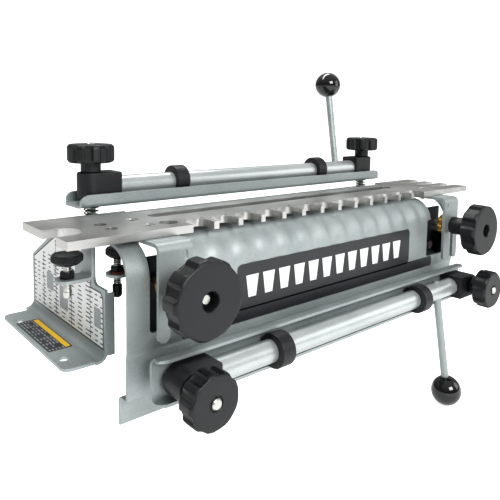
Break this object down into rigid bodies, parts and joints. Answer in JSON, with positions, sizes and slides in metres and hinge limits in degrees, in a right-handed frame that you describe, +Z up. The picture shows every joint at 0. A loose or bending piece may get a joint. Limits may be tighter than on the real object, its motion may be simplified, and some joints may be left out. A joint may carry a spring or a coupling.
{
  "type": "dovetail jig",
  "caption": "Bench-top router dovetail jig: stamped steel base, aluminium finger template on fork brackets, and two cam-lever clamp bars for boards.",
  "frame": {"origin": "middle of the jig along its length, on the top front edge of the bench it hooks over: the plane of the feet's undersides and the plane of the lip's rear face", "axes": "+X to the operator's right along the jig, +Y to the back over the bench, +Z up"},
  "size_m": [0.525, 0.2614, 0.3712],
  "materials": {
    "grey_powder_coat": "satin",
    "template_aluminium": "machined",
    "black_plastic": "moulded satin",
    "black_phenolic": "gloss",
    "zinc_steel": "zinc plated",
    "black_steel": "black oxide",
    "brass": "turned",
    "copper": "dull"
  },
  "bodies": {
    "base": {"base_shell": "grey_powder_coat", "left_foot_plate": "grey_powder_coat", "left_stud_plate": "black_steel", "left_bracket_stud": "zinc_steel", "left_stop_pin": "black_steel", "right_foot_plate": "grey_powder_coat", "right_stud_plate": "black_steel", "right_bracket_stud": "zinc_steel", "right_stop_pin": "black_steel", "top_left_stud": "zinc_steel", "top_left_spring": "black_steel", "top_right_stud": "zinc_steel", "top_right_spring": "black_steel", "front_left_stud": "zinc_steel", "front_left_spring": "black_steel", "front_right_stud": "zinc_steel", "front_right_spring": "black_steel", "outer_gauge_bracket": "grey_powder_coat", "inner_gauge_bracket": "grey_powder_coat", "outer_depth_nut": "black_steel", "inner_depth_nut": "black_steel", "inner_depth_washer": "copper"},
    "reach_washers": {"left_nut_washer": "zinc_steel", "right_nut_washer": "zinc_steel"},
    "template": {"template": "template_aluminium", "left_bracket": "grey_powder_coat", "right_bracket": "grey_powder_coat", "left_bracket_screw": "zinc_steel", "right_bracket_screw": "zinc_steel", "rear_bracket_screw": "zinc_steel"},
    "outer_depth_screw": {"outer_depth_screw": "zinc_steel"},
    "outer_depth_head": {"outer_depth_knob": "black_plastic"},
    "inner_depth_screw": {"inner_depth_screw": "zinc_steel"},
    "inner_depth_head": {"inner_depth_knob": "black_plastic"},
    "left_stop_nut": {"left_stop_nut": "brass"},
    "left_knob_washer": {"left_knob_washer": "zinc_steel"},
    "left_bracket_knob": {"left_bracket_knob": "black_plastic"},
    "right_stop_nut": {"right_stop_nut": "brass"},
    "right_knob_washer": {"right_knob_washer": "zinc_steel"},
    "right_bracket_knob": {"right_bracket_knob": "black_plastic"},
    "top_carriage": {"top_left_block": "black_plastic", "top_right_block": "black_plastic"},
    "top_cam": {"top_cam_rod": "grey_powder_coat", "top_left_cam": "black_plastic", "top_right_cam": "black_plastic", "top_lever": "grey_powder_coat", "top_lever_ball": "black_phenolic"},
    "top_bar": {"top_clamp_bar": "grey_powder_coat"},
    "top_left_knob": {"top_left_knob": "black_plastic"},
    "top_right_knob": {"top_right_knob": "black_plastic"},
    "front_carriage": {"front_left_block": "black_plastic", "front_right_block": "black_plastic"},
    "front_cam": {"front_cam_rod": "grey_powder_coat", "front_left_cam": "black_plastic", "front_right_cam": "black_plastic", "front_lever": "grey_powder_coat", "front_lever_ball": "black_phenolic"},
    "front_bar": {"front_clamp_bar": "grey_powder_coat"},
    "front_left_knob": {"front_left_knob": "black_plastic"},
    "front_right_knob": {"front_right_knob": "black_plastic"}
  },
  "joints": [
    {"name": "template_reach", "type": "slide", "parent": "base", "child": "reach_washers", "axis": [0, -1, 0], "range_m": [-0.0025, 0.0025]},
    {"name": "template_lift", "type": "slide", "parent": "reach_washers", "child": "template", "axis": [0, 0, 1], "range_m": [0, 0.07]},
    {"name": "left_nut_turn", "type": "hinge", "parent": "reach_washers", "child": "left_stop_nut", "pos_m": [-0.191, -0.0254, 0.067], "axis": [0, -1, 0], "range_deg": [-640, 640]},
    {"name": "left_knob_out", "type": "slide", "parent": "reach_washers", "child": "left_knob_washer", "axis": [0, -1, 0], "range_m": [0, 0.0061]},
    {"name": "left_knob_turn", "type": "hinge", "parent": "left_knob_washer", "child": "left_bracket_knob", "pos_m": [-0.191, -0.0318, 0.067], "axis": [0, -1, 0], "range_deg": [0, 1530]},
    {"name": "right_nut_turn", "type": "hinge", "parent": "reach_washers", "child": "right_stop_nut", "pos_m": [0.191, -0.0254, 0.067], "axis": [0, -1, 0], "range_deg": [-640, 640]},
    {"name": "right_knob_out", "type": "slide", "parent": "reach_washers", "child": "right_knob_washer", "axis": [0, -1, 0], "range_m": [0, 0.0061]},
    {"name": "right_knob_turn", "type": "hinge", "parent": "right_knob_washer", "child": "right_bracket_knob", "pos_m": [0.191, -0.0318, 0.067], "axis": [0, -1, 0], "range_deg": [0, 1530]},
    {"name": "top_clamp_open", "type": "slide", "parent": "base", "child": "top_carriage", "axis": [0, 0, 1], "range_m": [-0.006, 0.016], "deforming": ["top_left_spring", "top_right_spring"]},
    {"name": "top_left_knob_turn", "type": "hinge", "parent": "top_carriage", "child": "top_left_knob", "pos_m": [-0.1935, 0.106, 0.1393], "axis": [0, 0, 1], "range_deg": [-1533, 4085]},
    {"name": "top_right_knob_turn", "type": "hinge", "parent": "top_carriage", "child": "top_right_knob", "pos_m": [0.1935, 0.106, 0.1393], "axis": [0, 0, 1], "range_deg": [-1533, 4085]},
    {"name": "top_lever_swing", "type": "hinge", "parent": "top_carriage", "child": "top_cam", "pos_m": [0, 0.106, 0.125], "axis": [-1, 0, 0], "range_deg": [0, 81]},
    {"name": "top_bar_press", "type": "slide", "parent": "top_carriage", "child": "top_bar", "axis": [0, 0, -1], "range_m": [0, 0.0015], "deforming": ["top_left_spring", "top_right_spring"]},
    {"name": "front_clamp_open", "type": "slide", "parent": "base", "child": "front_carriage", "axis": [0, -1, 0], "range_m": [-0.006, 0.016], "deforming": ["front_left_spring", "front_right_spring"]},
    {"name": "front_left_knob_turn", "type": "hinge", "parent": "front_carriage", "child": "front_left_knob", "pos_m": [-0.1935, -0.0583, 0.001], "axis": [0, -1, 0], "range_deg": [-1533, 4085]},
    {"name": "front_right_knob_turn", "type": "hinge", "parent": "front_carriage", "child": "front_right_knob", "pos_m": [0.1935, -0.0583, 0.001], "axis": [0, -1, 0], "range_deg": [-1533, 4085]},
    {"name": "front_lever_swing", "type": "hinge", "parent": "front_carriage", "child": "front_cam", "pos_m": [0, -0.044, 0.001], "axis": [-1, 0, 0], "range_deg": [0, 81]},
    {"name": "front_bar_press", "type": "slide", "parent": "front_carriage", "child": "front_bar", "axis": [0, 1, 0], "range_m": [0, 0.0015], "deforming": ["front_left_spring", "front_right_spring"]},
    {"name": "outer_depth_move", "type": "slide", "parent": "base", "child": "outer_depth_screw", "axis": [0, 0, 1], "range_m": [-0.005, 0.005]},
    {"name": "outer_depth_turn", "type": "hinge", "parent": "outer_depth_screw", "child": "outer_depth_head", "pos_m": [-0.249, 0.026, 0.081], "axis": [0, 0, 1], "range_deg": [-1278, 1278]},
    {"name": "inner_depth_move", "type": "slide", "parent": "base", "child": "inner_depth_screw", "axis": [0, 0, 1], "range_m": [-0.005, 0.005]},
    {"name": "inner_depth_turn", "type": "hinge", "parent": "inner_depth_screw", "child": "inner_depth_head", "pos_m": [-0.209, 0.026, 0.08], "axis": [0, 0, 1], "range_deg": [-1278, 1278]}
  ],
  "couplings": [
    {"joint": "left_knob_out", "follows": "left_knob_turn", "m_per_rad": 0.00022458},
    {"joint": "right_knob_out", "follows": "right_knob_turn", "m_per_rad": 0.00022458},
    {"joint": "left_nut_turn", "follows": "template_reach", "rad_per_m": 4452.7},
    {"joint": "right_nut_turn", "follows": "template_reach", "rad_per_m": 4452.7},
    {"joint": "top_left_knob_turn", "follows": "top_clamp_open", "rad_per_m": 4452.7},
    {"joint": "top_right_knob_turn", "follows": "top_clamp_open", "rad_per_m": 4452.7},
    {"joint": "top_bar_press", "follows": "top_lever_swing", "m_per_rad": 0.001061},
    {"joint": "front_left_knob_turn", "follows": "front_clamp_open", "rad_per_m": 4452.7},
    {"joint": "front_right_knob_turn", "follows": "front_clamp_open", "rad_per_m": 4452.7},
    {"joint": "front_bar_press", "follows": "front_lever_swing", "m_per_rad": 0.001061},
    {"joint": "outer_depth_turn", "follows": "outer_depth_move", "rad_per_m": 4452.7},
    {"joint": "inner_depth_turn", "follows": "inner_depth_move", "rad_per_m": 4452.7}
  ]
}
